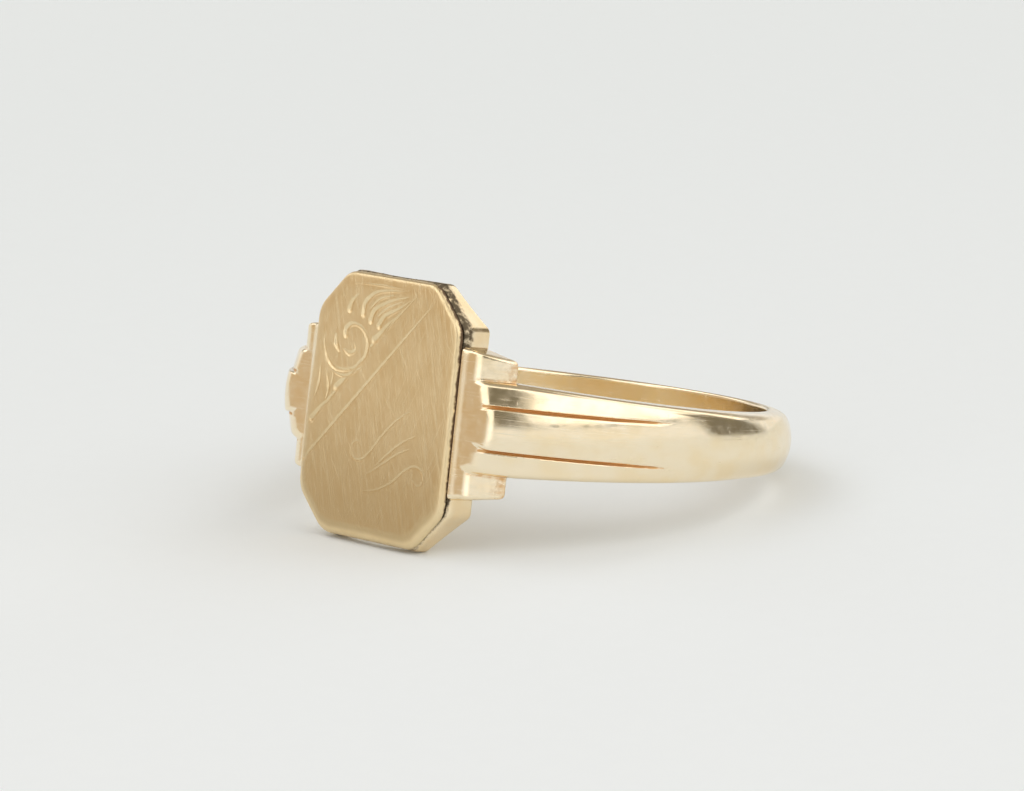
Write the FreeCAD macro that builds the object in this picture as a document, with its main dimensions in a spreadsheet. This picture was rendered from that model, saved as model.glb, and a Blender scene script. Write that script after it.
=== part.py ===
import FreeCAD, Part
import math
import os

import Sketcher

# Signet ring, millimetres.  The origin is the centre of the finger hole and +Z runs along the hole.
# The signet table faces -Y and +X is to the right when the table is seen from the front.

os.makedirs("parts", exist_ok=True)
doc = FreeCAD.newDocument("signet_ring")
V = FreeCAD.Vector
Z_AXIS = V(0, 0, 1)

SIZES = [
    ("bore_radius", 9.4, "finger hole"),
    ("table_width", 9.1, "signet table, across the finger"),
    ("table_height", 11.4, "signet table, along the finger"),
    ("corner_cut", 1.7, "cut corners of the table, each leg"),
    ("table_front", 10.35, "finger axis to the front of the table"),
    ("table_thickness", 0.4, "signet table"),
    ("table_corner_round", 0.35, "worn upright corners of the table"),
    ("table_rim_round", 0.3, "worn rim of the table"),
    ("seam_thickness", 0.08, "solder between table and block"),
    ("seam_inset", 0.12, "solder held back from the outline"),
    ("block_margin", 0.08, "block larger than the table, each side"),
    ("block_bevel", 0.1, "bevel round the front of the block"),
    ("block_relief", 9.6, "finger axis to the hollowed back of the block's free ends"),
    ("facet_front", 9.92, "finger axis to the filed flat of the shoulders"),
    ("lip_width", 0.42, "lip of the shoulder beside the table"),
    ("lip_height", 0.12, "lip of the shoulder above the filed flat"),
    ("band_radius", 11.2, "outside of the band"),
    ("band_shift", 0.85, "outside of the band set forward of the finger axis"),
    ("crown_radius", 4.6, "rounding of the outside of the band, along the finger"),
    ("band_half_front", 2.0, "half width of the band at the step ribs"),
    ("band_half_back", 1.3, "half width of the band at the back"),
    ("rib_half", 0.88, "half width of the centre rib"),
    ("side_radius", 12.0, "side bands beside the centre rib"),
    ("side_centre_x", 0.65, "centre of the side bands' arc, to the far side of the finger"),
    ("side_fall", 0.2, "side bands, lower at their outer edge"),
    ("groove_width", 0.12, "cut line beside the centre rib"),
    ("groove_depth", 0.1, "cut line beside the centre rib"),
    ("step_radius", 8.05, "outside of the step ribs"),
    ("step_centre_x", 0.72, "centre of the step ribs' arc, across the finger"),
    ("step_centre_y", 3.42, "centre of the step ribs' arc, towards the table"),
    ("step_half_inner", 3.3, "half height of the step ribs at the block"),
    ("step_half_outer", 2.92, "half height of the step ribs at their ends"),
    ("step_back", 8.6, "finger axis to the back of the step ribs"),
    ("step_reach", 6.9, "ring centre line to the ends of the step ribs"),
    ("shank_round", 1.75, "rounding that thins the edges of the shank towards the back"),
    ("shank_round_centre", 10.26, "centre of that rounding from its own axis"),
    ("shank_round_shift", 1.6, "axis of that rounding, towards the table"),
    ("film_thickness", 0.06, "solder films of the shoulders"),
    ("engraving_depth", 0.05, "cut lines on the table"),
    ("engraving_width", 0.12, "cut lines on the table"),
]
JOINT_ANGLE = math.radians(77.5)     # from the middle of the table round to the shank joint
CORE_RADIUS = 8.0                    # inner edge of the turned sections, inside the finger hole
CLEAR = 14.0                         # beyond everything, for the outer edge of trimming cuts


class Size:
    """A length that carries its number and its spreadsheet expression together."""

    def __init__(self, value, text):
        self.value = value
        self.text = text

    def __add__(self, other):
        return Size(self.value + other.value, "(" + self.text + " + " + other.text + ")")

    def __sub__(self, other):
        return Size(self.value - other.value, "(" + self.text + " - " + other.text + ")")

    def __neg__(self):
        return Size(-self.value, "(0 mm - " + self.text + ")")

    def __mul__(self, factor):
        return Size(self.value * factor, "(" + self.text + " * " + repr(factor) + ")")


def fixed(value):
    return Size(value, "(" + format(value, ".6f") + " mm)")


def fill_sheet():
    sheet = doc.addObject("Spreadsheet::Sheet", "Sizes")
    sizes = {}
    for row, (name, value, note) in enumerate(SIZES, start=1):
        sheet.set("A%d" % row, name)
        sheet.set("B%d" % row, str(value))
        sheet.setAlias("B%d" % row, name)
        sheet.set("C%d" % row, note)
        sizes[name] = Size(value, "(Sizes." + name + " * 1 mm)")
    doc.recompute()
    return sizes


mm = fill_sheet()


# ---------------------------------------------------------------- sketches and features

def new_body(name):
    body = doc.addObject("PartDesign::Body", name)
    body.Label = name
    return body


def new_sketch(body, name, role, shift_x=None, lift=None):
    """A sketch on one of the body's own origin planes, moved along the plane's x and normal."""
    sketch = body.newObject("Sketcher::SketchObject", name)
    plane = [item for item in body.Origin.OriginFeatures if item.Role == role][0]
    sketch.AttachmentSupport = [(plane, "")]
    sketch.MapMode = "FlatFace"
    if shift_x:
        sketch.setExpression("AttachmentOffset.Base.x", shift_x.text)
    if lift:
        sketch.setExpression("AttachmentOffset.Base.z", lift.text)
    return sketch


def pin(sketch, edge, end, x=None, y=None):
    """Tie one end of an edge to the sheet, in x, in y or in both."""
    for kind, size in (("DistanceX", x), ("DistanceY", y)):
        if size is None:
            continue
        index = sketch.addConstraint(Sketcher.Constraint(kind, -1, 1, edge, end, size.value))
        sketch.setExpression("Constraints[%d]" % index, size.text)


def draw_loop(sketch, corners, arcs=()):
    """A closed loop through the corners.

    `arcs` maps the number of a corner to (centre, radius) of the counterclockwise arc that leaves
    it; every other side is straight.  The ends of an arc keep only their y: x follows the arc.
    """
    arcs = dict(arcs)
    count = len(corners)
    edges = []
    for number, (start, stop) in enumerate(zip(corners, corners[1:] + corners[:1])):
        begin = V(start[0].value, start[1].value, 0)
        finish = V(stop[0].value, stop[1].value, 0)
        if number in arcs:
            centre, radius = arcs[number]
            middle = V(centre[0].value, centre[1].value, 0)
            angles = [math.atan2(p.y - middle.y, p.x - middle.x) for p in (begin, finish)]
            circle = Part.Circle(middle, Z_AXIS, radius.value)
            edges.append(sketch.addGeometry(Part.ArcOfCircle(circle, angles[0], angles[1])))
        else:
            edges.append(sketch.addGeometry(Part.LineSegment(begin, finish)))
    for number in range(count):
        following = (number + 1) % count
        sketch.addConstraint(Sketcher.Constraint("Coincident", edges[number], 2, edges[following], 1))
    for number, (x, y) in enumerate(corners):
        on_arc = number in arcs or (number - 1) % count in arcs
        pin(sketch, edges[number], 1, None if on_arc else x, y)
    for number, (centre, radius) in arcs.items():
        pin(sketch, edges[number], 3, centre[0], centre[1])
        index = sketch.addConstraint(Sketcher.Constraint("Radius", edges[number], radius.value))
        sketch.setExpression("Constraints[%d]" % index, radius.text)


def mirrored(corners):
    """The same loop on the other side of the sketch's x axis, still counterclockwise."""
    return [(x, -y) for x, y in reversed(corners)]


def pad(body, sketch, length):
    feature = body.newObject("PartDesign::Pad", sketch.Name + "_pad")
    feature.Profile = sketch
    feature.setExpression("Length", length.text)
    finish_feature(sketch)
    return feature


def revolve(body, sketch):
    feature = body.newObject("PartDesign::Revolution", sketch.Name + "_turn")
    feature.Profile = sketch
    feature.ReferenceAxis = (sketch, ["V_Axis"])
    feature.Angle = 360
    finish_feature(sketch)
    return feature


def turn_away(body, sketch):
    """Turn the sketch about its own y axis and take it away from the body."""
    before = body.Shape.Volume
    feature = body.newObject("PartDesign::Groove", sketch.Name + "_turn")
    feature.Profile = sketch
    feature.ReferenceAxis = (sketch, ["V_Axis"])
    feature.Angle = 360
    finish_feature(sketch)
    if body.Shape.Volume > before - 1e-6:
        raise RuntimeError(feature.Name + " cuts nothing")
    return feature


def cut_through(body, sketch, one_way=False, reverse=False):
    """Cut the sketch right through the body and make sure that something went."""
    before = body.Shape.Volume
    feature = body.newObject("PartDesign::Pocket", sketch.Name + "_cut")
    feature.Profile = sketch
    feature.Type = "ThroughAll"
    feature.SideType = "One side" if one_way else "Symmetric"
    feature.Reversed = reverse
    finish_feature(sketch)
    if body.Shape.Volume > before - 1e-6:
        raise RuntimeError(feature.Name + " cuts nothing")
    return feature


def cut_in(body, sketch, depth):
    before = body.Shape.Volume
    feature = body.newObject("PartDesign::Pocket", sketch.Name + "_cut")
    feature.Profile = sketch
    feature.setExpression("Length", depth.text)
    finish_feature(sketch)
    if body.Shape.Volume > before - 1e-6:
        raise RuntimeError(feature.Name + " cuts nothing")
    return feature


def soften(body, kind, name, edges, size):
    """Fillet or chamfer the edges of the body's last feature."""
    tip = body.Tip
    feature = body.newObject("PartDesign::" + kind, name)
    feature.Base = (tip, edges)
    feature.setExpression("Radius" if kind == "Fillet" else "Size", size.text)
    doc.recompute()
    return feature


def finish_feature(sketch):
    sketch.Visibility = False
    doc.recompute()


def edge_names(shape, test):
    return ["Edge%d" % number for number, edge in enumerate(shape.Edges, start=1) if test(edge)]


def lies_at_y(edge, y):
    return all(abs(vertex.Point.y - y) < 1e-4 for vertex in edge.Vertexes)


def runs_along_y(edge):
    ends = [vertex.Point for vertex in edge.Vertexes]
    return len(ends) == 2 and abs((ends[1] - ends[0]).y) > 0.9 * edge.Length


# ---------------------------------------------------------------- head

def cut_corner_outline(inset):
    """The table's outline: an upright rectangle with its corners cut at 45 degrees."""
    half_x = mm["table_width"] * 0.5 - inset
    half_z = mm["table_height"] * 0.5 - inset
    cut = mm["corner_cut"] - inset * (2 - math.sqrt(2))
    low_x, low_z = half_x - cut, half_z - cut
    return [(low_x, -half_z), (half_x, -low_z), (half_x, low_z), (low_x, half_z),
            (-low_x, half_z), (-half_x, low_z), (-half_x, -low_z), (-low_x, -half_z)]


def head_plate(name, back, thickness, inset):
    """A plate of the table's outline; `back` is the distance from the finger axis to its back."""
    body = new_body(name)
    sketch = new_sketch(body, name + "_outline", "XZ_Plane", lift=back)
    draw_loop(sketch, cut_corner_outline(inset))
    pad(body, sketch, thickness)
    return body


def engraved_line(sketch, start, stop, width):
    """A straight cut line between two points of the table, as a narrow closed strip."""
    length = math.hypot(stop[0] - start[0], stop[1] - start[1])
    across = (-(stop[1] - start[1]) / length / 2, (stop[0] - start[0]) / length / 2)
    strip = []
    for point, side in ((start, -1), (stop, -1), (stop, 1), (start, 1)):
        strip.append((fixed(point[0]) + width * (across[0] * side),
                      fixed(point[1]) + width * (across[1] * side)))
    draw_loop(sketch, strip)


def build_table():
    back = mm["table_front"] - mm["table_thickness"]
    body = head_plate("signet_table", back, mm["table_thickness"], fixed(0.0))
    upright = edge_names(body.Shape, runs_along_y)
    soften(body, "Fillet", "table_corners", upright, mm["table_corner_round"])
    front = -mm["table_front"].value
    rim = edge_names(body.Shape, lambda edge: lies_at_y(edge, front))
    soften(body, "Fillet", "table_rim", rim, mm["table_rim_round"])

    sketch = new_sketch(body, "border_lines", "XZ_Plane", lift=mm["table_front"])
    for start, stop in (((-4.0, -2.1), (2.6, 4.7)), ((-4.0, -1.0), (1.6, 4.8))):
        engraved_line(sketch, start, stop, mm["engraving_width"])
    cut_in(body, sketch, mm["engraving_depth"])
    return body


def build_table_solder():
    back = mm["table_front"] - mm["table_thickness"] - mm["seam_thickness"]
    return head_plate("table_solder", back, mm["seam_thickness"], mm["seam_inset"])


def build_head_block():
    front = mm["table_front"] - mm["table_thickness"] - mm["seam_thickness"]
    root = mm["bore_radius"] - fixed(1.4)
    body = head_plate("head_block", root, front - root, -mm["block_margin"])

    bore = new_sketch(body, "block_bore", "XY_Plane")
    centred_circle(bore, mm["bore_radius"])
    cut_through(body, bore)

    for word, lift, upward in (("upper", mm["band_half_front"], True),
                               ("lower", -mm["band_half_front"], False)):
        hollow = new_sketch(body, "block_" + word + "_hollow", "XY_Plane", lift=lift)
        centred_circle(hollow, mm["block_relief"])
        cut_through(body, hollow, one_way=True, reverse=upward)

    rim = edge_names(body.Shape, lambda edge: lies_at_y(edge, -front.value))
    soften(body, "Chamfer", "block_front_bevel", rim, mm["block_bevel"])
    return body


# ---------------------------------------------------------------- band

def crown_x(outer, z):
    """Radius of the rounded outside of the band at height z, where it is `outer` at mid height."""
    crown = mm["crown_radius"].value
    return outer.value - crown + math.sqrt(crown ** 2 - z.value ** 2)


def crown_corner(outer, z):
    return (fixed(crown_x(outer, z)), z)


def crown_arc(outer):
    return ((outer - mm["crown_radius"], fixed(0.0)), mm["crown_radius"])


def band_section(sketch, half):
    """Half-round section: flat inside, rounded outside as far as the band's own width."""
    outer = mm["band_radius"]
    edge = mm["band_half_front"]
    upper_half = [crown_corner(outer, edge)]
    if half.value > edge.value:
        upper_half.append((crown_corner(outer, edge)[0], half))
    upper_half.append((fixed(CORE_RADIUS), half))
    corners = mirrored(upper_half) + upper_half
    draw_loop(sketch, corners, {len(upper_half) - 1: crown_arc(outer)})


def side_band_section(sketch, side):
    """What is taken off outside the centre rib: a sloping band that starts in a sharp cut line."""
    far = fixed(CLEAR + 4)
    top = mm["step_half_inner"] + fixed(0.2)
    outer = mm["side_radius"]
    edge = mm["band_half_front"]
    profile = [(far, mm["rib_half"]), (outer, mm["rib_half"]),
               (outer - mm["groove_depth"], mm["rib_half"] + mm["groove_width"] * 0.5),
               (outer, mm["rib_half"] + mm["groove_width"]), (outer - mm["side_fall"], edge),
               (outer - mm["side_fall"], top), (far, top)]
    away = [(x * -side, z) for x, z in profile]
    draw_loop(sketch, away)
    draw_loop(sketch, mirrored(away))


def step_rib_section(sketch, side):
    """What is taken off outside the two step ribs."""
    far = fixed(CLEAR + 4)
    top = mm["step_half_inner"] + fixed(0.2)
    profile = [(far, mm["band_half_front"]), (mm["step_radius"], mm["band_half_front"]),
               (mm["step_radius"], top), (far, top)]
    away = [(x * -side, z) for x, z in profile]
    draw_loop(sketch, away)
    draw_loop(sketch, mirrored(away))


def shank_round_section(sketch):
    """What is taken off the shank so that it grows rounder towards the back."""
    centre = mm["shank_round_centre"]
    radius = mm["shank_round"]
    half = radius - fixed(0.03)
    edge = centre + fixed(math.sqrt(radius.value ** 2 - half.value ** 2))
    far = fixed(CLEAR + 4)
    corners = [(edge, -half), (edge, half), (far, half), (far, -half)]
    draw_loop(sketch, corners, {0: ((centre, fixed(0.0)), radius)})


def centred_circle(sketch, radius):
    circle = sketch.addGeometry(Part.Circle(V(0, 0, 0), Z_AXIS, radius.value))
    sketch.addConstraint(Sketcher.Constraint("Coincident", circle, 3, -1, 1))
    index = sketch.addConstraint(Sketcher.Constraint("Radius", circle, radius.value))
    sketch.setExpression("Constraints[%d]" % index, radius.text)


def taper_cut(sketch):
    """Seen along x: the band narrows in a long curve from the step ribs to the back."""
    front, back = mm["band_half_front"], mm["band_half_back"]
    rear = mm["band_radius"] - mm["band_shift"]
    length = rear.value + mm["step_back"].value
    fall = front.value - back.value
    sweep = fixed(length ** 2 / (2 * fall) + fall / 2)
    corners = [(-mm["step_back"], front), (rear, back), (fixed(CLEAR), back),
               (fixed(CLEAR), fixed(4.0)), (-mm["step_back"], fixed(4.0))]
    circle = V(rear.value, back.value + sweep.value, 0)
    for sign in (1, -1):
        edges = []
        middle = V(circle.x, circle.y * sign, 0)
        start, stop = V(-mm["step_back"].value, front.value * sign, 0), V(rear.value, back.value * sign, 0)
        arc_ends = (start, stop) if sign > 0 else (stop, start)
        angles = [math.atan2(p.y - middle.y, p.x - middle.x) for p in arc_ends]
        arc = Part.ArcOfCircle(Part.Circle(middle, Z_AXIS, sweep.value), angles[0], angles[1])
        edges.append(sketch.addGeometry(arc))
        outline = [(x, y * sign) for x, y in corners[1:] + corners[:1]]
        for begin, finish in zip(outline, outline[1:]):
            edges.append(sketch.addGeometry(Part.LineSegment(
                V(begin[0].value, begin[1].value, 0), V(finish[0].value, finish[1].value, 0))))
        arc_back, arc_front = (2, 1) if sign > 0 else (1, 2)
        sketch.addConstraint(Sketcher.Constraint("Coincident", edges[0], arc_back, edges[1], 1))
        for one, other in zip(edges[1:], edges[2:]):
            sketch.addConstraint(Sketcher.Constraint("Coincident", one, 2, other, 1))
        sketch.addConstraint(Sketcher.Constraint("Coincident", edges[-1], 2, edges[0], arc_front))
        for edge, (x, y) in zip(edges[1:], outline):
            pin(sketch, edge, 1, x, y)
        pin(sketch, edges[-1], 2, outline[-1][0], outline[-1][1])
        index = sketch.addConstraint(Sketcher.Constraint("Radius", edges[0], sweep.value))
        sketch.setExpression("Constraints[%d]" % index, sweep.text)


def step_cut(sketch, side):
    """Seen from the front: the step ribs lose height towards their ends."""
    start = fixed(4.0)
    near, far = mm["table_width"] * 0.5, mm["step_reach"]
    tall, low = mm["step_half_inner"], mm["step_half_outer"]
    corners = [(start, tall), (near, tall), (far, low), (fixed(CLEAR), low),
               (fixed(CLEAR), fixed(4.0)), (start, fixed(4.0))]
    upper = [(x * side, z) for x, z in corners]
    draw_loop(sketch, upper)
    draw_loop(sketch, mirrored(upper))


def outside_of(sketch, keep):
    """Everything out to the clear limit except the loop that is kept."""
    clear = fixed(CLEAR + 2)
    draw_loop(sketch, [(-clear, -clear), (clear, -clear), (clear, clear), (-clear, clear)])
    draw_loop(sketch, keep)


def band_piece(name, keep, side=None):
    """A length of the band.  With `side` it has the centre rib, the side bands and the step ribs."""
    body = new_body(name)
    section = new_sketch(body, name + "_section", "XZ_Plane", lift=mm["band_shift"])
    band_section(section, mm["step_half_inner"] if side else mm["band_half_front"])
    revolve(body, section)
    if side:
        side_bands = new_sketch(body, name + "_side_bands", "XZ_Plane",
                                shift_x=mm["side_centre_x"] * -side)
        side_band_section(side_bands, side)
        turn_away(body, side_bands)
        steps = new_sketch(body, name + "_step_ribs", "XZ_Plane",
                           shift_x=mm["step_centre_x"] * side, lift=mm["step_centre_y"])
        step_rib_section(steps, side)
        turn_away(body, steps)
    trim = new_sketch(body, name + "_trim", "XY_Plane")
    outside_of(trim, keep)
    cut_through(body, trim)
    bore = new_sketch(body, name + "_bore", "XY_Plane")
    centred_circle(bore, mm["bore_radius"])
    cut_through(body, bore)
    taper = new_sketch(body, name + "_taper", "YZ_Plane")
    taper_cut(taper)
    cut_through(body, taper)
    if side:
        ends = new_sketch(body, name + "_step_tops", "XZ_Plane")
        step_cut(ends, side)
        cut_through(body, ends)
    return body


def joint_point(radius, offset, side):
    """A point of the shank joint: `radius` out along it, `offset` further round to the back."""
    x = radius * math.sin(JOINT_ANGLE) + offset * math.cos(JOINT_ANGLE)
    y = -radius * math.cos(JOINT_ANGLE) + offset * math.sin(JOINT_ANGLE)
    return (fixed(x * side), fixed(y))


def build_shoulder(name, side):
    near = mm["table_width"] * 0.5 + mm["block_margin"] + mm["film_thickness"]
    facet = mm["facet_front"]
    lip = near + mm["lip_width"]
    keep = [(near * side, -fixed(7.5)), (near * side, -(facet + mm["lip_height"])),
            (lip * side, -facet), (fixed(CLEAR * side), -facet),
            joint_point(CLEAR, 0.0, side), joint_point(CORE_RADIUS, 0.0, side)]
    return band_piece(name, keep, side)


def build_shoulder_solder(name, side):
    near = mm["table_width"] * 0.5 + mm["block_margin"]
    far = near + mm["film_thickness"]
    front = mm["facet_front"] - mm["seam_inset"] * 0.5
    keep = [(near * side, -fixed(7.5)), (near * side, -front), (far * side, -front),
            (far * side, -fixed(7.5))]
    return band_piece(name, keep, side)


def build_shank_solder(name, side):
    film = mm["film_thickness"].value
    keep = [joint_point(CORE_RADIUS, 0.0, side), joint_point(CLEAR, 0.0, side),
            joint_point(CLEAR, film, side), joint_point(CORE_RADIUS, film, side)]
    return band_piece(name, keep)


def build_shank():
    film = mm["film_thickness"].value
    clear = fixed(CLEAR)
    keep = [joint_point(CORE_RADIUS, film, 1), joint_point(CLEAR, film, 1), (clear, clear),
            (-clear, clear), joint_point(CLEAR, film, -1), joint_point(CORE_RADIUS, film, -1)]
    body = band_piece("shank", keep)
    rounding = new_sketch(body, "shank_rounding", "XZ_Plane", lift=mm["shank_round_shift"])
    shank_round_section(rounding)
    turn_away(body, rounding)
    return body


# ---------------------------------------------------------------- build, check, write

pieces = [build_table(), build_table_solder(), build_head_block(), build_shank()]
for word, side in (("right", 1), ("left", -1)):
    pieces.append(build_shoulder("shoulder_" + word, side))
    pieces.append(build_shoulder_solder("shoulder_solder_" + word, side))
    pieces.append(build_shank_solder("shank_solder_" + word, side))
doc.recompute()

faults = []
for item in doc.Objects:
    if any(state in ("Invalid", "Error") for state in item.State):
        faults.append(item.Name + " is " + ", ".join(item.State))
for piece in pieces:
    shape = piece.Shape
    if shape.isNull() or not shape.isValid() or len(shape.Solids) != 1:
        faults.append(piece.Label + " has no single valid solid")
if faults:
    raise RuntimeError("; ".join(faults))

for piece in pieces:
    piece.Shape.exportStep("parts/" + piece.Label + ".step")
    box = piece.Shape.BoundBox
    print("%-24s volume %8.4f  x %.2f..%.2f  y %.2f..%.2f  z %.2f..%.2f" % (
        piece.Label, piece.Shape.Volume, box.XMin, box.XMax, box.YMin, box.YMax, box.ZMin, box.ZMax))
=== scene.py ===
import math

import bmesh
import bpy
import numpy as np
from mathutils import Matrix, Vector


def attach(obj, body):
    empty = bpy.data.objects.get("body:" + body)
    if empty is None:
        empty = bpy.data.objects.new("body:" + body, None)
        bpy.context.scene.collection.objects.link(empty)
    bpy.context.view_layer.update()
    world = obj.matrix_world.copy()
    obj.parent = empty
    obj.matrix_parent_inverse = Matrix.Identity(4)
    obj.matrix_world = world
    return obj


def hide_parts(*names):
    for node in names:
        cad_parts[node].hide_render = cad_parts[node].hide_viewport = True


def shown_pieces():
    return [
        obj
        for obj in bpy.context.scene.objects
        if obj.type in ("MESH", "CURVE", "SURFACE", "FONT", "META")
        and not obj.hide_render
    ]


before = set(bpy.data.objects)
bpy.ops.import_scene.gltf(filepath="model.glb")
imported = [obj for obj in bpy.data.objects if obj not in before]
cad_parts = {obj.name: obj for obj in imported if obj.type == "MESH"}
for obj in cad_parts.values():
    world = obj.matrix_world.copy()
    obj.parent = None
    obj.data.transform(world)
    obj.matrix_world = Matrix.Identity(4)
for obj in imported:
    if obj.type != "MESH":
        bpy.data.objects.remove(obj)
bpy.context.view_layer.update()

# Signet ring lying on its side.  Shapes are worked out in millimetres, in the CAD frame: the origin is
# the centre of the finger hole, +Z runs along the hole, and the signet table faces -Y.  Each piece is
# the surface of a signed distance (below zero inside), so that every edge can be worn round.

MM = 0.001

BORE = 9.4                                      # radius of the finger hole

TABLE_HALF_X, TABLE_HALF_Z = 4.55, 5.7
CORNER_CUT = 1.7                                # each leg of a cut corner
TABLE_FRONT, TABLE_BACK = 10.35, 9.95           # distances in front of the finger hole's axis
TABLE_MARGIN = 0.03                             # the visible plate, a little over its nominal outline
TABLE_BOW = 0.07                                # its sides, fuller in the middle
TABLE_LEAN = 0.26                               # its left edge, further out towards the foot
RIM_WIDTH, RIM_DROP, FOOT_DROP = 0.7, 0.12, 0.11  # worn rim, and how much deeper it is at the foot
SEAM_INSET, SEAM_HALF = 0.09, 0.085             # solder between plate and block

BLOCK_FRONT, BLOCK_BACK = 9.87, 8.0
BLOCK_MARGIN, BLOCK_BEVEL = 0.08, 0.11
BLOCK_RELIEF = 9.6                              # radius of the hollow behind the block's free ends

FILM = 0.06                                     # solder in the joints of the band
BAND_RADIUS, BAND_SHIFT = 11.2, 0.85            # outside of the band, set forward of the axis
BAND_BACK = BAND_RADIUS - BAND_SHIFT
CROWN, BACK_CROWN = 4.6, 2.1                    # rounding of the outside, at shoulders and back
HALF_FRONT, HALF_BACK = 2.0, 1.3                # half width of the band
RIB_HALF = 0.88                                 # centre rib
GROOVE_WIDTH, GROOVE_DEPTH = 0.15, 0.09
GROOVE_MIDDLE = RIB_HALF + GROOVE_WIDTH / 2
SIDE_RADIUS, SIDE_SHIFT, SIDE_FALL = 12.0, 0.65, 0.2  # side bands
STEP_RADIUS, STEP_X, STEP_Y = 8.05, 0.72, 3.42  # outside of the step ribs, and its centre
STEP_BACK, STEP_REACH = 8.6, 6.9
STEP_TOP_NEAR, STEP_TOP_FAR = 3.3, 2.92
FACET_FRONT = 9.92                              # filed flat of the shoulders
LIP_WIDTH, LIP_HEIGHT = 0.42, 0.12              # lip beside the table
SHOULDER_START = TABLE_HALF_X + BLOCK_MARGIN + FILM
JOINT = math.radians(77.5)                      # from the middle of the table round to the shank joint


# ---------------------------------------------------------------- distances

def smooth_max(a, b, blend):
    """The larger of two distances, with the edge between them rounded over about `blend`."""
    reach = np.clip(blend - np.abs(a - b), 0, None) / blend
    return np.maximum(a, b) + reach * reach * blend / 4


def smooth_min(a, b, blend):
    return -smooth_max(-a, -b, blend)


def ease(value, low, high):
    """0 below `low`, 1 above `high`, smooth between."""
    t = np.clip((value - low) / (high - low), 0, 1)
    return t * t * (3 - 2 * t)


def ripple(a, b, size):
    """A smooth irregular pattern between about -1 and 1."""
    u, v = a / size, b / size
    return (np.sin(2.1 * u + 1.3 * np.sin(1.7 * v)) + np.sin(2.9 * v + 1.9 * np.sin(1.1 * u) + 2.0)
            + np.sin(3.7 * u - 2.3 * v + 4.0)) / 3


def cut_corner(x, z, margin, worn):
    """Distance outside the upright rectangle with cut corners."""
    half_x, half_z = TABLE_HALF_X + margin, TABLE_HALF_Z + margin
    cut = CORNER_CUT + margin * (2 - math.sqrt(2))
    across, along = np.abs(x) - half_x, np.abs(z) - half_z
    corner = (np.abs(x) + np.abs(z) - (half_x + half_z - cut)) / math.sqrt(2)
    return smooth_max(np.maximum(across, along), corner, worn)


def table_distance(x, y, z):
    """The engraved plate, with a rim worn down and slight waves in its face."""
    bow = TABLE_BOW * np.clip(1 - (z / 4.2) ** 2, 0, 1)
    lean = TABLE_LEAN * ease(-z, -2.5, 3.6) * ease(-x, 0.5, 4.5)
    edge = cut_corner(x * (1 - bow / TABLE_HALF_X) + lean, z, TABLE_MARGIN, 0.34)
    rim = RIM_DROP + FOOT_DROP * ease(-z - x * 0.4, 1.5, 6.0)
    drop = rim * np.clip(1 + edge / RIM_WIDTH, 0, 1) ** 2
    waves = 0.012 + 0.006 * ripple(x, z, 2.6)
    front = -TABLE_FRONT + waves + drop + ENGRAVING.depth_at(x, z) - y
    return smooth_max(smooth_max(edge, front, 0.2), y + TABLE_BACK, 0.06)


def seam_distance(x, y, z):
    """The solder between plate and block, with a lumpy edge."""
    lumps = ripple(x + 3 * z, z - 2 * x, 0.55) + 0.6 * ripple(x - z, z + x, 0.21)
    edge = cut_corner(x, z, -SEAM_INSET, 0.4) - 0.045 * lumps
    middle = -(TABLE_BACK + BLOCK_FRONT) / 2
    return smooth_max(edge, np.abs(y - middle) - SEAM_HALF, 0.06)


def block_distance(x, y, z):
    """The block behind the plate: bevelled in front, bored for the finger, hollowed above and below."""
    edge = cut_corner(x, z, BLOCK_MARGIN, 0.12)
    front = -BLOCK_FRONT - y
    bevel = (edge + front) / math.sqrt(2) + BLOCK_BEVEL
    hollow = BORE + (BLOCK_RELIEF - BORE) * ease(np.abs(z), HALF_FRONT - 0.04, HALF_FRONT + 0.1)
    body = smooth_max(smooth_max(edge, front, 0.1), bevel, 0.08)
    body = smooth_max(body, hollow - np.hypot(x, y), 0.14)
    return smooth_max(body, y + BLOCK_BACK, 0.1)


def half_width(y):
    """Half width of the band, narrowing from the step ribs to the back."""
    curve = ((BAND_BACK - y) / (BAND_BACK + STEP_BACK)) ** 2
    return np.minimum(HALF_BACK + (HALF_FRONT - HALF_BACK) * curve, HALF_FRONT)


def reeded_profile(x, y, z):
    """Centre rib between two cut lines, with a lower side band on each side."""
    ax, az = np.abs(x), np.abs(z)
    angle = np.arctan2(ax, -y)
    bend = CROWN + (BACK_CROWN - CROWN) * ease(angle, math.radians(64), math.radians(104))
    crown = np.hypot(np.hypot(x, y + BAND_SHIFT) - (BAND_RADIUS - bend), z) - bend
    fall = SIDE_FALL * np.clip((az - RIB_HALF - GROOVE_WIDTH) / 1.0, 0, 1.4)
    side = np.hypot(ax + SIDE_SHIFT, y) - (SIDE_RADIUS - fall)
    fade = (1 - ease(angle, math.radians(68), JOINT)) * ease(y + FACET_FRONT, 0.02, 0.5)
    groove = fade * GROOVE_DEPTH * (1 - ease(np.abs(az - GROOVE_MIDDLE), 0, GROOVE_WIDTH / 2))
    flank = smooth_min(az - RIB_HALF, side + groove, 0.05)
    return smooth_max(crown, flank, 0.07)


def step_rib(x, y, z):
    """The short ribs above and below the band, beside the table."""
    ax, az = np.abs(x), np.abs(z)
    outer = np.hypot(ax - STEP_X, y + STEP_Y) - STEP_RADIUS
    slope = np.clip((ax - TABLE_HALF_X) / (STEP_REACH - TABLE_HALF_X), 0, 1.2)
    top = az - (STEP_TOP_NEAR + (STEP_TOP_FAR - STEP_TOP_NEAR) * slope)
    return smooth_max(smooth_max(outer, top, 0.16), y + STEP_BACK, 0.2)


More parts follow.
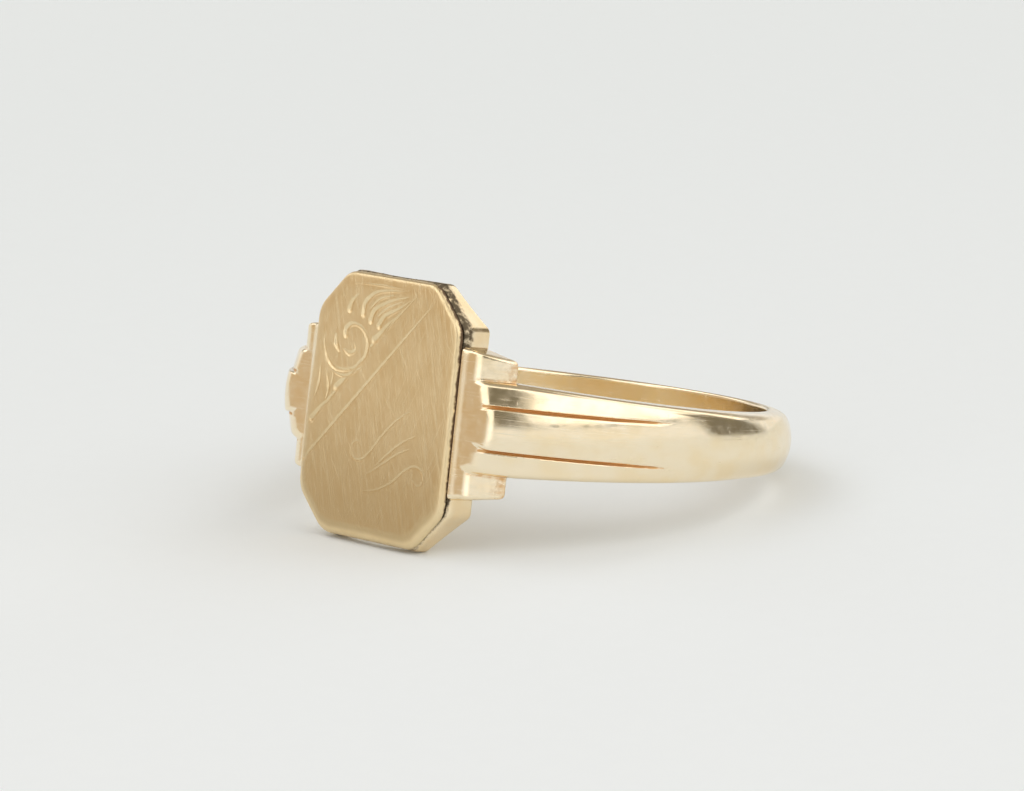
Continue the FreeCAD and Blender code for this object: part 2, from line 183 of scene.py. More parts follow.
def band_distance(x, y, z):
    """Shoulders and shank in one: reeded band, step ribs, the filed flat in front and the finger hole."""
    az = np.abs(z)
    body = smooth_max(reeded_profile(x, y, z), az - half_width(y), 0.34)
    body = smooth_min(body, step_rib(x, y, z), 0.07)
    lip = LIP_HEIGHT * ease(-(np.abs(x) - SHOULDER_START), -LIP_WIDTH * 1.15, LIP_WIDTH * 0.25)
    body = smooth_max(body, -FACET_FRONT - lip - y, 0.26)
    return smooth_max(body, BORE - np.hypot(x, y), 0.16)


# ---------------------------------------------------------------- engraving

class Engraving:
    """Depth of the cut lines on the table, kept on a fine grid and read between its points."""

    CELL = 0.02

    def __init__(self):
        self.xs = np.arange(-TABLE_HALF_X - 0.2, TABLE_HALF_X + 0.2, self.CELL)
        self.zs = np.arange(-TABLE_HALF_Z - 0.2, TABLE_HALF_Z + 0.2, self.CELL)
        self.depth = np.zeros((len(self.xs), len(self.zs)))

    def cut(self, points, widths, depth):
        """A cut along a smooth line; its width and depth swell and fade together."""
        line = smooth_line(points)
        t = np.linspace(0, 1, len(line))
        half = np.interp(t, np.linspace(0, 1, len(widths)), widths) * 0.6
        for (x, z), reach in zip(line, half):
            reach = max(reach, 0.6 * self.CELL)
            i0, i1 = np.searchsorted(self.xs, (x - reach, x + reach))
            j0, j1 = np.searchsorted(self.zs, (z - reach, z + reach))
            away = np.hypot(self.xs[i0:i1, None] - x, self.zs[None, j0:j1] - z) / reach
            bowl = depth * (reach / (0.6 * max(widths))) * np.clip(1 - away ** 1.4, 0, 1)
            self.depth[i0:i1, j0:j1] = np.maximum(self.depth[i0:i1, j0:j1], bowl)

    def soften(self):
        """Rounds the edges of the cuts a little."""
        for axis in (0, 1):
            around = np.roll(self.depth, 1, axis) + np.roll(self.depth, -1, axis)
            self.depth = (around + 2 * self.depth) / 4

    def depth_at(self, x, z):
        """Depth at any points, read evenly between the grid's."""
        i = np.clip((x - self.xs[0]) / self.CELL, 0, len(self.xs) - 1.001)
        j = np.clip((z - self.zs[0]) / self.CELL, 0, len(self.zs) - 1.001)
        i0, j0 = i.astype(int), j.astype(int)
        u, v = i - i0, j - j0
        low = self.depth[i0, j0] * (1 - u) + self.depth[i0 + 1, j0] * u
        high = self.depth[i0, j0 + 1] * (1 - u) + self.depth[i0 + 1, j0 + 1] * u
        return low * (1 - v) + high * v


def smooth_line(points, step=0.012):
    """Catmull-Rom line through the points, sampled evenly enough for the cut to look continuous."""
    p = np.array([points[0]] + list(points) + [points[-1]], float)
    out = []
    for a, b, c, d in zip(p, p[1:], p[2:], p[3:]):
        count = max(2, int(np.hypot(*(c - b)) / step))
        for t in np.linspace(0, 1, count, endpoint=False):
            out.append(0.5 * (2 * b + (c - a) * t + (2 * a - 5 * b + 4 * c - d) * t * t
                              + (3 * b - a - 3 * c + d) * t ** 3))
    out.append(p[-1])
    return out


# Each cut is its points on the table, its widths from first to last, and its depth.
BORDER_CUTS = [
    ([(3.02, 4.94), (-4.49, -2.74)], [0.03, 0.13, 0.15, 0.13], 0.045),
    ([(1.79, 5.05), (-0.9, 2.52)], [0.03, 0.12, 0.14], 0.045),
    ([(-1.35, 1.95), (-4.3, -1.12)], [0.14, 0.14, 0.08], 0.045),
    ([(-2.26, 5.23), (-0.4, 5.3), (1.24, 5.24)], [0.03, 0.1, 0.04], 0.03),
]
SCROLL_CUTS = [
    ([(-2.5, 2.95), (-2.5, 3.2), (-2.1, 3.45), (-1.45, 3.3), (-1.05, 2.8), (-1.1, 2.2), (-1.5, 1.72)],
     [0.3, 0.2, 0.13, 0.17, 0.24, 0.2, 0.1], 0.085),
    ([(-1.45, 1.8), (-2.05, 1.47), (-2.96, 1.42), (-3.55, 1.8), (-3.82, 2.35), (-3.88, 2.9)],
     [0.08, 0.13, 0.16, 0.2, 0.14, 0.03], 0.07),
    ([(-2.55, 2.3), (-2.17, 2.15), (-1.78, 2.35), (-1.9, 2.66)], [0.07, 0.2, 0.15, 0.05], 0.06),
    ([(-3.15, 2.85), (-3.08, 2.5), (-2.85, 2.22)], [0.12, 0.3, 0.16], 0.085),
    ([(-2.42, 4.05), (-2.3, 4.4), (-1.92, 4.78)], [0.3, 0.2, 0.03], 0.085),
    ([(-1.5, 3.95), (-1.42, 4.45), (-0.75, 4.95), (0.2, 5.12), (1.24, 5.2)],
     [0.3, 0.22, 0.14, 0.1, 0.03], 0.085),
    ([(-0.98, 3.72), (-0.75, 4.2), (0.2, 4.66), (1.28, 4.98)], [0.28, 0.19, 0.12, 0.03], 0.085),
    ([(-0.42, 3.55), (-0.1, 3.98), (0.7, 4.38), (1.45, 4.84)], [0.28, 0.2, 0.12, 0.03], 0.085),
    ([(-1.1, 4.2), (-0.55, 4.68), (0.35, 4.95)], [0.05, 0.11, 0.03], 0.045),
    ([(-0.55, 3.95), (0.1, 4.4), (0.9, 4.72)], [0.05, 0.1, 0.03], 0.045),
    ([(-0.62, 2.9), (-0.38, 3.1), (0.25, 3.75), (0.85, 4.15)], [0.34, 0.22, 0.1, 0.03], 0.08),
    ([(-2.78, 0.6), (-2.55, 0.8), (-2.1, 1.2), (-1.4, 1.62)], [0.34, 0.24, 0.12, 0.05], 0.08),
    ([(-4.22, -0.95), (-4.02, -0.75), (-3.6, -0.3), (-3.0, 0.3)], [0.3, 0.22, 0.1, 0.04], 0.08),
    ([(-3.98, 1.5), (-3.95, 0.75), (-4.2, -0.1)], [0.03, 0.17, 0.04], 0.06),
    ([(-3.55, 1.3), (-3.3, 0.6), (-3.38, 0.02)], [0.05, 0.19, 0.04], 0.07),
    ([(-3.1, 1.4), (-3.12, 0.8), (-3.45, -0.05)], [0.04, 0.12, 0.03], 0.05),
    ([(-3.35, 1.36), (-2.6, 1.15), (-1.9, 1.3), (-1.3, 1.66)], [0.03, 0.1, 0.12, 0.04], 0.05),
]
FLOURISH_CUTS = [
    ([(-0.75, -1.75), (-1.05, -1.5), (-1.4, -1.75), (-1.3, -2.2), (-0.75, -2.3), (-0.2, -1.9), (0.5, -1.1),
      (1.3, -0.35), (2.2, 0.2)], [0.05, 0.1, 0.12, 0.11, 0.08, 0.05], 0.024),
    ([(2.75, -2.75), (3.1, -2.95), (3.4, -2.65), (3.2, -2.25), (2.7, -2.15), (2.1, -2.45), (1.4, -3.0),
      (0.6, -3.4), (-0.3, -3.6)], [0.05, 0.1, 0.12, 0.11, 0.08, 0.05], 0.024),
    ([(0.2, -2.5), (0.9, -1.9), (1.7, -1.3), (2.6, -0.85)], [0.04, 0.12, 0.1, 0.04], 0.024),
    ([(-0.2, -2.85), (0.7, -2.3), (1.6, -1.75), (2.3, -1.45)], [0.04, 0.1, 0.09, 0.04], 0.022),
]
ENGRAVING = Engraving()
for points, widths, depth in BORDER_CUTS + SCROLL_CUTS + FLOURISH_CUTS:
    ENGRAVING.cut(points, widths, depth)
ENGRAVING.soften()


# ---------------------------------------------------------------- distance to mesh

def slope_of(distance, p, step=0.002):
    """Slope of the distance at the points, which is the way out of the surface."""
    slope = np.empty_like(p)
    for axis in range(3):
        shift = np.zeros(3)
        shift[axis] = step
        slope[:, axis] = (distance(*(p + shift).T) - distance(*(p - shift).T)) / (2 * step)
    return slope


def settle(distance, p, cell, rounds):
    """Moves points onto the surface, along the slope of the distance."""
    for _ in range(rounds):
        slope = slope_of(distance, p)
        move = distance(*p.T) / np.maximum((slope * slope).sum(1), 0.1)
        p = p - np.clip(move, -cell, cell)[:, None] * slope
    return p


def even_out(p, quads):
    """Each point moves half way to the middle of its neighbours."""
    one, other = quads.ravel(), np.roll(quads, -1, axis=1).ravel()
    count = np.bincount(one, minlength=len(p)) + np.bincount(other, minlength=len(p))
    middle = np.empty_like(p)
    for axis in range(3):
        total = np.bincount(one, p[other, axis], len(p)) + np.bincount(other, p[one, axis], len(p))
        middle[:, axis] = total / count
    return (p + middle) / 2


def surface(distance, low, high, cell):
    """Quads on the zero surface of `distance`: one point in each grid cell that the surface crosses."""
    axes = [np.arange(a, b + cell, cell) for a, b in zip(low, high)]
    shape = tuple(len(a) for a in axes)
    field = np.broadcast_to(distance(axes[0][:, None, None], axes[1][None, :, None], axes[2]), shape)
    quads, crossings = [], []
    for axis in range(3):
        near = np.take(field, range(shape[axis] - 1), axis)
        far = np.take(field, range(1, shape[axis]), axis)
        where = np.argwhere((near < 0) != (far < 0))
        beside = np.delete(where, axis, 1)
        limit = np.delete(shape, axis) - 1
        where = where[((beside > 0) & (beside < limit)).all(1)]
        at = tuple(where.T)
        point = where.astype(float)
        point[:, axis] += near[at] / (near[at] - far[at])
        one, other = (axis + 1) % 3, (axis + 2) % 3
        around = []
        for a, b in ((-1, -1), (0, -1), (0, 0), (-1, 0)):
            corner = where.copy()
            corner[:, one] += a
            corner[:, other] += b
            around.append(np.ravel_multi_index(tuple(corner.T), shape))
        ring = np.stack(around, 1)
        outward = near[at] < 0
        ring = np.where(outward[:, None], ring, ring[:, ::-1])
        quads.append(ring)
        crossings.append(np.repeat(point, 4, axis=0))
    quads = np.concatenate(quads)
    crossings = np.concatenate(crossings)
    _, quads = np.unique(quads, return_inverse=True)
    quads = quads.reshape(-1, 4)
    count = np.bincount(quads.ravel())
    p = np.empty((len(count), 3))
    for axis in range(3):
        p[:, axis] = np.bincount(quads.ravel(), crossings[:, axis]) / count * cell + low[axis]
    p = settle(distance, p, cell / 2, 2)
    for _ in range(3):
        p = settle(distance, even_out(p, quads), cell / 2, 1)
    return settle(distance, p, cell / 2, 2), quads


def make_piece(name, distance, low, high, cell, planes=(), grime_and_shade=None):
    """A named mesh of the distance.

    `planes` are (point, normal, side) cuts: what lies beyond one goes, on that side of x = 0, or on
    both sides where side is 0.
    """
    points, quads = surface(distance, low, high, cell)
    mesh = bpy.data.meshes.new(name)
    mesh.from_pydata(points, [], quads)
    bm = bmesh.new()
    bm.from_mesh(mesh)
    for point, normal, side in planes:
        faces = [face for face in bm.faces if side * face.calc_center_median().x > -cell]
        edges = list(dict.fromkeys(edge for face in faces for edge in face.edges))
        verts = list(dict.fromkeys(vert for face in faces for vert in face.verts))
        cut = bmesh.ops.bisect_plane(bm, geom=faces + edges + verts, plane_co=point, plane_no=normal,
                                     clear_outer=True, dist=1e-6)
        rim = [item for item in cut["geom_cut"] if isinstance(item, bmesh.types.BMEdge)]
        bmesh.ops.holes_fill(bm, edges=rim, sides=0)
    bm.to_mesh(mesh)
    bm.free()
    count = len(mesh.vertices)
    flat = np.empty(count * 3)
    mesh.vertices.foreach_get("co", flat)
    place = flat.reshape(-1, 3)
    normals = slope_of(distance, place)
    normals /= np.linalg.norm(normals, axis=1)[:, None]
    wrap = np.stack([np.arctan2(np.abs(place[:, 0]), -place[:, 1]) * BORE, place[:, 2],
                     np.hypot(place[:, 0], place[:, 1])], 1)
    mesh.attributes.new("wrap", "FLOAT_VECTOR", "POINT").data.foreach_set("vector", wrap.ravel())
    # per point dirt for each piece, and on the band painted shade at the step ribs' ends as well
    soil_and_shade_mask = grime_and_shade(*place.T) if grime_and_shade else np.zeros(count)
    mesh.attributes.new("grime_and_shade", "FLOAT", "POINT").data.foreach_set("value", soil_and_shade_mask)
    mesh.vertices.foreach_set("co", (place * MM).ravel())
    mesh.polygons.foreach_set("use_smooth", np.ones(len(mesh.polygons), bool))
    mesh.normals_split_custom_set_from_vertices(normals)
    mesh.update()
    piece = bpy.data.objects.new(name, mesh)
    bpy.context.scene.collection.objects.link(piece)
    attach(piece, "root")
    return piece


# ---------------------------------------------------------------- node helpers

def link(tree, source, target):
    tree.links.new(source, target)


def node(tree, kind, **values):
    """A new node: each value is a socket to link, an input's number, or a property."""
    made = tree.nodes.new(kind)
    for key, value in values.items():
        if isinstance(value, bpy.types.NodeSocket):
            link(tree, value, made.inputs[key])
        elif key in made.inputs:
            made.inputs[key].default_value = value
        else:
            setattr(made, key, value)
    return made


def maths(tree, operation, *inputs):
    """A Math node of sockets and numbers."""
    made = tree.nodes.new("ShaderNodeMath")
    made.operation = operation
    for socket, value in zip(made.inputs, inputs):
        if isinstance(value, bpy.types.NodeSocket):
            link(tree, value, socket)
        else:
            socket.default_value = value
    return made.outputs[0]


def eased(tree, value, low, high):
    """0 below `low`, 1 above `high`, smooth between."""
    made = tree.nodes.new("ShaderNodeMapRange")
    made.interpolation_type = "SMOOTHSTEP"
    link(tree, value, made.inputs["Value"])
    made.inputs["From Min"].default_value = low
    made.inputs["From Max"].default_value = high
    return made.outputs["Result"]


def window(tree, value, low, high, soft):
    """1 between `low` and `high`, falling to 0 over `soft` on each side."""
    rise = eased(tree, value, low - soft / 2, low + soft / 2)
    drop = eased(tree, value, high - soft / 2, high + soft / 2)
    return maths(tree, "SUBTRACT", rise, drop)


def mix(tree, factor, one, other):
    """The colour `one` where `factor` is 0, and `other` where it is 1."""
    made = tree.nodes.new("ShaderNodeMix")
    made.data_type = "RGBA"
    for name, value in (("Factor", factor), ("A", one), ("B", other)):
        socket = [s for s in made.inputs if s.name == name and s.enabled][0]
        if isinstance(value, bpy.types.NodeSocket):
            link(tree, value, socket)
        elif name == "Factor":
            socket.default_value = value
        else:
            socket.default_value = (*value, 1)
    return [s for s in made.outputs if s.enabled][0]


def stretched_noise(tree, vector, scale, turn=0.0, detail=2.0, distortion=0.0):
    """Noise whose grain is drawn out: `scale` is per metre or millimetre of the vector, on each axis."""
    turned = node(tree, "ShaderNodeMapping", Vector=vector, Rotation=(0, turn, 0))
    sized = node(tree, "ShaderNodeMapping", Vector=turned.outputs[0], Scale=scale)
    made = node(tree, "ShaderNodeTexNoise", Vector=sized.outputs[0], Scale=1.0, Detail=detail,
                Distortion=distortion)
    return made.outputs["Fac"]


# ---------------------------------------------------------------- materials

def gold(name, tones, soil_and_shade_tone, polish, lines, wave, relief, wrapped=False, foot_shade=None):
    """Gold with patches of two tones, uneven polish, scratches, and dirt and painted shade where the mesh
    says so.

    `tones` are the paler and the deeper gold, and `polish` the lowest and highest roughness.  `lines`
    are the scratches: turn, scale across and along, start and full strength, and depth.  `wave` is the
    scale and height of a soft unevenness.  `relief`, in millimetres, is what those heights are times.
    `wrapped` gold takes its grain round the band, and the rest takes it from the object's own axes.
    A table's face also takes painted shade, given last: a darker tone painted towards its foot.
    """
    material = bpy.data.materials.new(name)
    material.use_nodes = True
    tree = material.node_tree
    shader = tree.nodes["Principled BSDF"]
    shader.inputs["Metallic"].default_value = 1.0
    if wrapped:
        place = node(tree, "ShaderNodeAttribute", attribute_name="wrap").outputs["Vector"]
    else:
        place = node(tree, "ShaderNodeTexCoord").outputs["Object"]
    unit = 1.0 if wrapped else 1 / MM

    patches = stretched_noise(tree, place, (0.9 * unit,) * 3, detail=4.0)
    tone = mix(tree, eased(tree, patches, 0.35, 0.68), *tones)
    # painted shade: a table's face is painted darker towards its foot, all but its worn rim
    if foot_shade:
        where = node(tree, "ShaderNodeSeparateXYZ", Vector=place).outputs
        rim = eased(tree, where["Y"], -(TABLE_FRONT - 0.03) * MM, -(TABLE_FRONT - 0.11) * MM)
        bright = maths(tree, "MAXIMUM", rim, eased(tree, where["Z"], -5.4 * MM, 1.8 * MM))
        tone = mix(tree, bright, foot_shade, tone)
    # the mesh's mark is dirt, and on the band also painted shade at the step ribs' ends, both in the soil
    # tone
    grime_and_shade = node(tree, "ShaderNodeAttribute", attribute_name="grime_and_shade").outputs["Fac"]
    speckle = stretched_noise(tree, place, (5.0 * unit,) * 3, detail=6.0)
    soil_and_shade_mask = maths(tree, "MULTIPLY", grime_and_shade, maths(tree, "MULTIPLY_ADD", speckle, 2.6, -0.35))
    soil_and_shade_mask = eased(tree, soil_and_shade_mask, 0.15, 0.85)
    link(tree, mix(tree, soil_and_shade_mask, tone, soil_and_shade_tone), shader.inputs["Base Color"])

    wave_scale, wave_height = wave
    waves = stretched_noise(tree, place, (wave_scale * unit,) * 3, detail=1.0)
    height = maths(tree, "MULTIPLY", waves, wave_height)
    marks = 0.0
    for turn, across, along, start, full, depth in lines:
        grain = (along, across, along) if wrapped else (across, along, along)
        fine = stretched_noise(tree, place, tuple(unit * size for size in grain), turn, 3.0, 0.4)
        line = eased(tree, fine, start, full)
        marks = maths(tree, "MAXIMUM", line, marks)
        height = maths(tree, "MULTIPLY_ADD", line, -depth, height)
    bump = node(tree, "ShaderNodeBump", Height=height, Strength=1.0, Distance=relief * MM)
    link(tree, bump.outputs[0], shader.inputs["Normal"])

    smooth, rough = polish
    uneven = stretched_noise(tree, place, (3.0 * unit,) * 3, detail=6.0)
    spread = maths(tree, "MULTIPLY_ADD", eased(tree, uneven, 0.3, 0.75), rough - smooth, smooth)
    spread = maths(tree, "MULTIPLY_ADD", marks, 0.08, spread)
    spread = maths(tree, "MULTIPLY_ADD", soil_and_shade_mask, 0.35, spread)
    link(tree, spread, shader.inputs["Roughness"])
    return material


def polished(name, tones, soil_and_shade_tone):
    """Polished gold, with fine scratches that run round the band."""
    lines = [(0.0, 26.0, 0.35, 0.62, 0.72, 0.5),
             (0.0, 9.0, 0.5, 0.6, 0.75, 0.6),
             (0.0, 2.0, 14.0, 0.66, 0.74, 0.35)]
    return gold(name, tones, soil_and_shade_tone, (0.12, 0.24), lines, (0.8, 3.0), 0.0015, wrapped=True)


def satin(name):
    """The table's worn face, scratched in three directions, with painted shade darkening it towards its
    foot.
    """
    tones = (0.87, 0.70, 0.43), (0.83, 0.655, 0.385)
    lines = [(math.radians(18), 22.0, 0.5, 0.5, 0.72, 0.9),
             (math.radians(-28), 16.0, 0.4, 0.6, 0.74, 0.8),
             (math.radians(40), 12.0, 0.35, 0.66, 0.74, 0.8)]
    return gold(name, tones, (0.2, 0.13, 0.08), (0.28, 0.38), lines, (0.7, 2.0), 0.008,
                foot_shade=(0.62, 0.475, 0.265))


def dirt(name):
    """Brown dirt with pale specks in the mouth of a joint, and clean solder deeper in."""
    material = bpy.data.materials.new(name)
    material.use_nodes = True
    tree = material.node_tree
    shader = tree.nodes["Principled BSDF"]
    place = node(tree, "ShaderNodeTexCoord").outputs["Object"]
    grains = stretched_noise(tree, place, (9000.0,) * 3, detail=6.0)
    specks = eased(tree, stretched_noise(tree, place, (5000.0,) * 3, detail=3.0), 0.66, 0.72)
    brown = mix(tree, eased(tree, grains, 0.35, 0.7), (0.07, 0.04, 0.025), (0.19, 0.12, 0.075))
    mouth = mix(tree, specks, brown, (0.75, 0.6, 0.42))
    inward = node(tree, "ShaderNodeSeparateXYZ", Vector=place).outputs["Y"]
    clean = eased(tree, inward, -(BLOCK_FRONT - 0.17) * MM, -(BLOCK_FRONT - 0.57) * MM)
    link(tree, mix(tree, clean, mouth, (0.66, 0.5, 0.29)), shader.inputs["Base Color"])
    link(tree, maths(tree, "MULTIPLY_ADD", grains, 0.3, 0.5), shader.inputs["Roughness"])
    link(tree, maths(tree, "MULTIPLY_ADD", clean, 0.7, 0.25), shader.inputs["Metallic"])
    bump = node(tree, "ShaderNodeBump", Height=grains, Strength=0.8, Distance=0.02 * MM)
    link(tree, bump.outputs[0], shader.inputs["Normal"])
    return material


# ---------------------------------------------------------------- pieces

def seam_grime(x, y, z):
    """Dirt on the block: broad on the upper right corner, thin down the right side, and over the top."""
    chamfer = ease(x + z, 7.4, 8.2)
    right = ease(x, 4.0, 4.5) * ease(z, -4.5, -3.0)
    depth = 0.14 + 0.44 * chamfer + 0.1 * right
    front = (0.45 + 0.35 * np.maximum(chamfer, right)) * (1 - ease(y + BLOCK_FRONT, depth * 0.3, depth))
    top = 0.6 * ease(z, TABLE_HALF_Z - 0.1, TABLE_HALF_Z + 0.05)
    return np.maximum(front, top)


def table_grime(x, y, z):
    """Dirt under the plate's edge, mostly on the right, and a little in the engraving."""
    right = ease(x + z * 0.25, 3.0, 4.6) * ease(z, -4.9, -3.6)
    spread = (0.16 + 0.06 * ripple(z, x, 0.3)) * right
    under = ease(y + TABLE_BACK, -0.11 - spread, -0.04)
    return under * (0.3 + 0.9 * right) + 1.3 * ENGRAVING.depth_at(x, z)


def band_tarnish_and_shade(x, y, z):
    """Tarnish in the cut lines, at the step ribs' roots and along the joint with the block, and painted
    shade at the step ribs' ends.
    """
    ax, az = np.abs(x), np.abs(z)
    angle = np.arctan2(ax, -y)
    outside = ease(np.hypot(x, y), 10.2, 10.4)
    line = outside * (1 - ease(np.abs(az - GROOVE_MIDDLE), 0.015, 0.085))
    line = line * (1 - ease(angle, math.radians(66), math.radians(76)))
    root = (1 - ease(np.abs(az - HALF_FRONT - 0.03), 0.02, 0.12)) * ease(-y, 8.4, 8.8)
    # painted shade: the ends of the step ribs are painted darker, standing in for the shade in their
    # concave corners
    rib_end_shade = ease(az - HALF_FRONT, 0.02, 0.12) * ease(ax, STEP_REACH - 1, STEP_REACH)
    behind_facet = ease(y + FACET_FRONT, 0.02, 0.12)
    joint = 1 - ease(ax - SHOULDER_START, 0.0, 0.05)
    return behind_facet * (np.maximum(1.6 * line, 0.5 * root) + 0.52 * rib_end_shade) + 0.5 * joint


def joint_plane(side, offset, outward):
    """A cut square across the band at the shank joint, `offset` towards the back."""
    along = Vector((math.cos(JOINT) * side, math.sin(JOINT), 0))
    return along * offset, along * outward, side


# the band's soil tone is tarnish in its cut lines and painted shade at the step ribs' ends
GOLD_BAND = polished("band_gold", ((0.97, 0.84, 0.62), (0.95, 0.79, 0.53)), (0.72, 0.43, 0.19))
GOLD_HEAD = polished("head_gold", ((0.96, 0.8, 0.55), (0.94, 0.74, 0.46)), (0.16, 0.125, 0.08))
GOLD_TABLE = satin("table_gold")
SEAM_DIRT = dirt("seam_dirt")


def dress(piece, material, slot, *nodes):
    """Gives a new piece its material, and hides the CAD nodes it stands for."""
    piece.data.materials.append(material)
    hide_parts(*nodes)


table = make_piece("table_plate", table_distance, (-4.75, -10.5, -5.85), (4.75, -9.8, 5.85), 0.042,
                   planes=[(Vector((0, -TABLE_BACK - 0.01, 0)), Vector((0, 1, 0)), 0)],
                   grime_and_shade=table_grime)
dress(table, GOLD_TABLE, "table_gold", "signet_table")

seam = make_piece("table_seam", seam_distance, (-4.8, -10.1, -5.9), (4.8, -9.7, 5.9), 0.065)
dress(seam, SEAM_DIRT, "table_solder", "table_solder")

block = make_piece("head_block_worn", block_distance, (-4.8, -10.0, -5.95), (4.8, -7.8, 5.95), 0.07,
                   grime_and_shade=seam_grime)
dress(block, GOLD_HEAD, "head_gold", "head_block")

for word, side in (("right", 1), ("left", -1)):
    reach = sorted((4.55 * side, 11.4 * side))
    shoulder = make_piece("shoulder_" + word + "_reeded", band_distance,
                          (reach[0], -10.1, -3.45), (reach[1], -1.6, 3.45), 0.05,
                          planes=[(Vector((SHOULDER_START * side, 0, 0)), Vector((-side, 0, 0)), 0),
                                  joint_plane(side, 0.0, 1)], grime_and_shade=band_tarnish_and_shade)
    dress(shoulder, GOLD_BAND, "band_gold", "shoulder_" + word)
    reach = sorted((8.9 * side, 11.4 * side))
    film = make_piece("shank_joint_" + word, band_distance, (reach[0], -3.2, -2.2), (reach[1], -1.5, 2.2),
                      0.05, planes=[joint_plane(side, 0.0, -1), joint_plane(side, FILM, 1)])
    dress(film, GOLD_BAND, "solder_film", "shank_solder_" + word)

shank = make_piece("shank_half_round", band_distance, (-11.5, -3.2, -2.2), (11.5, 10.6, 2.2), 0.08,
                   planes=[joint_plane(1, FILM, -1), joint_plane(-1, FILM, -1)])
dress(shank, GOLD_BAND, "band_gold", "shank")

for word in ("right", "left"):
    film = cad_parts["shoulder_solder_" + word]
    film.data.materials.clear()
    film.data.materials.append(SEAM_DIRT)


# ---------------------------------------------------------------- floor, light and camera

TILT = math.radians(12.96)        # floor against the finger hole's cross-section
FLOOR_NORMAL = Vector((0, -math.sin(TILT), math.cos(TILT)))


def lowest_point():
    """How far the ring reaches below the origin, along the floor's normal."""
    low = 0.0
    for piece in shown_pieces():
        place = np.empty(len(piece.data.vertices) * 3)
        piece.data.vertices.foreach_get("co", place)
        low = min(low, float((place.reshape(-1, 3) @ np.array(FLOOR_NORMAL)).min()))
    return low


def build_floor():
    """A round sheet of pale paper under the ring, with painted shade making it a little darker on one
    side.
    """
    place = Matrix.Translation(FLOOR_NORMAL * lowest_point()) @ Matrix.Rotation(TILT, 4, "X")
    bpy.ops.mesh.primitive_circle_add(vertices=96, radius=0.6, fill_type="NGON")
    floor = bpy.context.object
    floor.name = "floor"
    floor.matrix_world = place
    material = bpy.data.materials.new("floor_paper")
    material.use_nodes = True
    tree = material.node_tree
    shader = tree.nodes["Principled BSDF"]
    shader.inputs["Roughness"].default_value = 0.9
    shader.inputs["Specular IOR Level"].default_value = 0.1
    spot = node(tree, "ShaderNodeTexCoord").outputs["Object"]
    across = node(tree, "ShaderNodeVectorMath", operation="DOT_PRODUCT")
    link(tree, spot, across.inputs[0])
    across.inputs[1].default_value = (-0.727, 0.686, 0)
    # painted shade: the paper is painted a little darker on one side
    darker = eased(tree, across.outputs["Value"], -0.08, 0.12)
    grain = stretched_noise(tree, spot, (900.0,) * 3, detail=3.0)
    paper = mix(tree, darker, (0.87, 0.905, 0.93), (0.822, 0.862, 0.882))
    link(tree, mix(tree, maths(tree, "MULTIPLY", grain, 0.03), paper, (0.5, 0.5, 0.5)),
         shader.inputs["Base Color"])
    floor.data.materials.append(material)


PAPER, DARK, PANEL, TOP = (0.93, 0.93, 0.92), (0.2, 0.185, 0.15), (1.55, 1.53, 1.5), (0.36, 0.33, 0.28)
FLOOR_GLOW = (0.855, 0.86, 0.845)
# Parts of the studio that differ from the rest.  Each has a span of azimuth, from the front of the table
# towards +X, a span of height above the floor, each span with the width of its soft ends, all in
# degrees, and its light.
STUDIO_PARTS = [
    ((-166, -98, 12), (9.5, 120, 5), (0.4, 0.36, 0.3)),     # dim behind, on the left
    ((152, 186, 12), (28, 62, 6), (1.1, 1.07, 1.02)),       # less bright behind
    ((134, 177, 8), (-9, 31, 5), DARK),                     # gap behind, on the right
    ((17, 45, 9), (11, 54, 3), DARK),                       # gap in front, on the right
    ((-78, -15, 10), (-4, 38, 6), (0.6, 0.48, 0.345)),      # warm wall that the table mirrors
    ((-4, 14, 13), (-3, 75, 8), (1.35, 1.35, 1.33)),        # panel in front
]


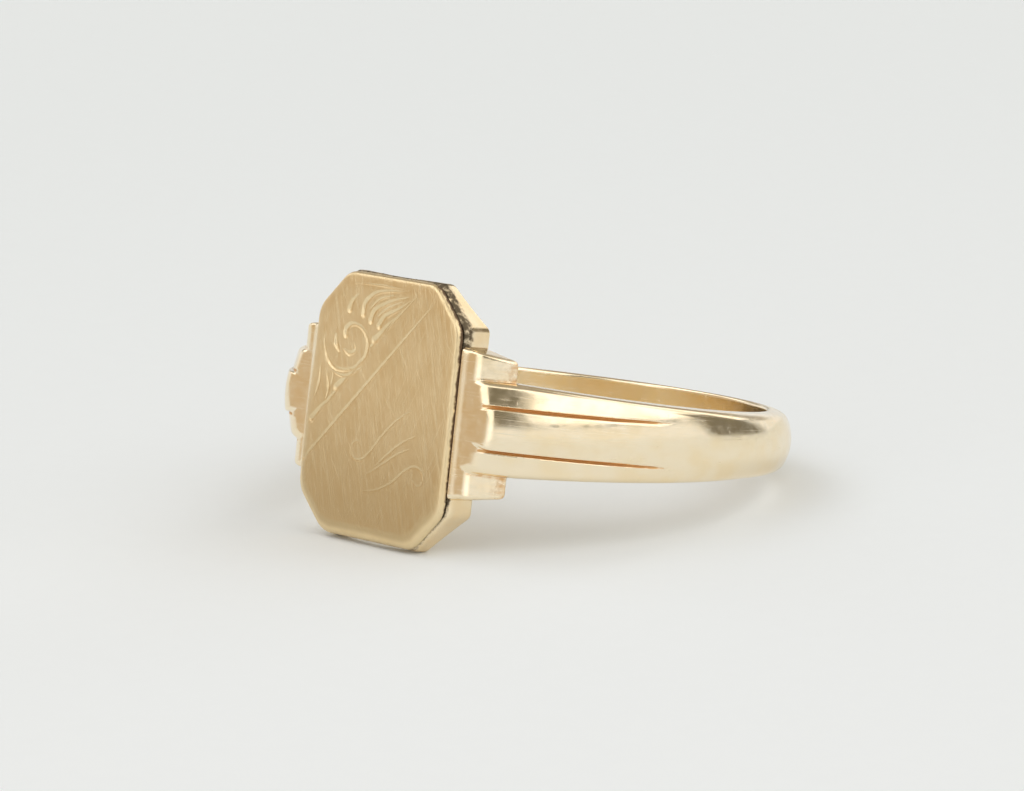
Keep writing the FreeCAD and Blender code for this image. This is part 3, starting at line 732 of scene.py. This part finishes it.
def build_world():
    """A soft studio: paper low down, bright panels above it, a dim top, and the parts listed above."""
    world = bpy.data.worlds.new("studio")
    bpy.context.scene.world = world
    world.use_nodes = True
    tree = world.node_tree
    background = tree.nodes["Background"]
    direction = node(tree, "ShaderNodeTexCoord").outputs["Generated"]
    level = node(tree, "ShaderNodeMapping", Vector=direction, Rotation=(-TILT, 0, 0)).outputs[0]
    parts = node(tree, "ShaderNodeSeparateXYZ", Vector=level).outputs
    height = maths(tree, "MULTIPLY", maths(tree, "ARCSINE", parts["Z"]), 180 / math.pi)
    around = maths(tree, "ARCTAN2", parts["X"], maths(tree, "MULTIPLY", parts["Y"], -1.0))
    around = maths(tree, "MULTIPLY", around, 180 / math.pi)

    light = mix(tree, eased(tree, height, 12.5, 14), PAPER, DARK)
    light = mix(tree, eased(tree, height, 15, 17), light, PANEL)
    light = mix(tree, eased(tree, height, 60, 74), light, TOP)
    for azimuths, heights, colour in STUDIO_PARTS:
        here = maths(tree, "MULTIPLY", window(tree, around, *azimuths), window(tree, height, *heights))
        light = mix(tree, here, light, colour)
    light = mix(tree, maths(tree, "LESS_THAN", height, 0.0), light, FLOOR_GLOW)
    link(tree, light, background.inputs["Color"])
    background.inputs["Strength"].default_value = 1.0


def build_camera():
    """A long lens in front of the ring, to its right and a little above the finger hole's middle."""
    azimuth, height, roll = math.radians(46.673), math.radians(4.36), math.radians(6.102)
    distance, aim_right, aim_up = 261.2, -1.773, 0.886
    back = Vector((math.sin(azimuth) * math.cos(height), -math.cos(azimuth) * math.cos(height),
                   math.sin(height)))
    level = Vector((math.cos(azimuth), math.sin(azimuth), 0))
    upright = level.cross(back) * -1
    right = level * math.cos(roll) + upright * math.sin(roll)
    up = upright * math.cos(roll) - level * math.sin(roll)
    aim = right * aim_right + up * aim_up
    place = back * distance
    back = (place - aim).normalized()
    right = up.cross(back).normalized()
    up = back.cross(right)
    data = bpy.data.cameras.new("camera")
    data.lens, data.sensor_width = 207.84, 36
    data.clip_start, data.clip_end = 0.01, 10
    camera = bpy.data.objects.new("camera", data)
    turn = Matrix((right, up, back)).transposed().to_4x4()
    camera.matrix_world = Matrix.Translation(place * MM) @ turn
    bpy.context.scene.collection.objects.link(camera)
    bpy.context.scene.camera = camera


build_floor()
build_world()
build_camera()
bpy.context.scene.view_settings.view_transform = "Standard"
